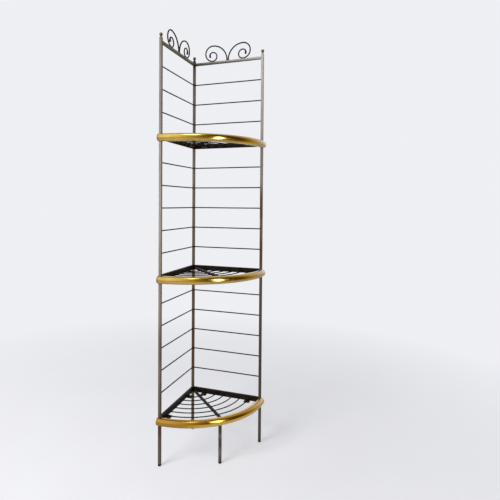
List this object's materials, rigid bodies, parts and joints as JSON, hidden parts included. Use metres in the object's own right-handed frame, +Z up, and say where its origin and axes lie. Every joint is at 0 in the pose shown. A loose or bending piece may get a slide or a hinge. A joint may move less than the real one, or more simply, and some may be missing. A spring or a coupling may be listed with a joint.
{
  "type": "corner shelf unit",
  "caption": "Tall corner étagère of square iron bar with quarter-round wire shelves, brass tube rims, rods across both backs, ball finials and scrolled top rails",
  "frame": {"origin": "on the floor under the axis of the back post", "axes": "+X from the back post to the right post, -Y from the back post to the left post, +Z up"},
  "size_m": [0.3869, 0.3869, 1.9518],
  "materials": {
    "patina": "brown-grey bronze patina on square steel bar, satin",
    "blackened": "blackened steel, satin, slightly worn",
    "brass": "polished brass with tarnish toward the ends",
    "finial_brass": "turned brass, darkened",
    "rust": "brown rusted iron",
    "foot": "black moulded tip"
  },
  "bodies": {
    "root": {"back_finial": "finial_brass", "back_post": "patina", "foot_caps": "foot", "front_leg": "patina", "left_finial": "finial_brass", "left_inner_scroll": "blackened", "left_outer_scroll": "blackened", "left_post": "patina", "left_rod_01": "blackened", "left_rod_02": "blackened", "left_rod_03": "blackened", "left_rod_04": "blackened", "left_rod_05": "blackened", "left_rod_06": "blackened", "left_rod_07": "blackened", "left_rod_08": "blackened", "left_rod_09": "blackened", "left_rod_10": "blackened", "left_rod_11": "blackened", "left_rod_12": "blackened", "left_rod_13": "blackened", "left_top_rail": "patina", "lower_diagonal_bar": "blackened", "lower_edge_band": "blackened", "lower_left_rail": "blackened", "lower_right_rail": "blackened", "lower_rim": "brass", "lower_wires": "blackened", "middle_diagonal_bar": "blackened", "middle_edge_band": "blackened", "middle_left_rail": "blackened", "middle_right_rail": "blackened", "middle_rim": "brass", "middle_wires": "blackened", "rest_tabs": "rust", "right_finial": "finial_brass", "right_inner_scroll": "blackened", "right_outer_scroll": "blackened", "right_post": "patina", "right_rod_01": "blackened", "right_rod_02": "blackened", "right_rod_03": "blackened", "right_rod_04": "blackened", "right_rod_05": "blackened", "right_rod_06": "blackened", "right_rod_07": "blackened", "right_rod_08": "blackened", "right_rod_09": "blackened", "right_rod_10": "blackened", "right_rod_11": "blackened", "right_rod_12": "blackened", "right_rod_13": "blackened", "right_top_rail": "patina", "rim_end_caps": "brass", "upper_diagonal_bar": "blackened", "upper_edge_band": "blackened", "upper_left_rail": "blackened", "upper_right_rail": "blackened", "upper_rim": "brass", "upper_wires": "blackened"}
  },
  "joints": []
}
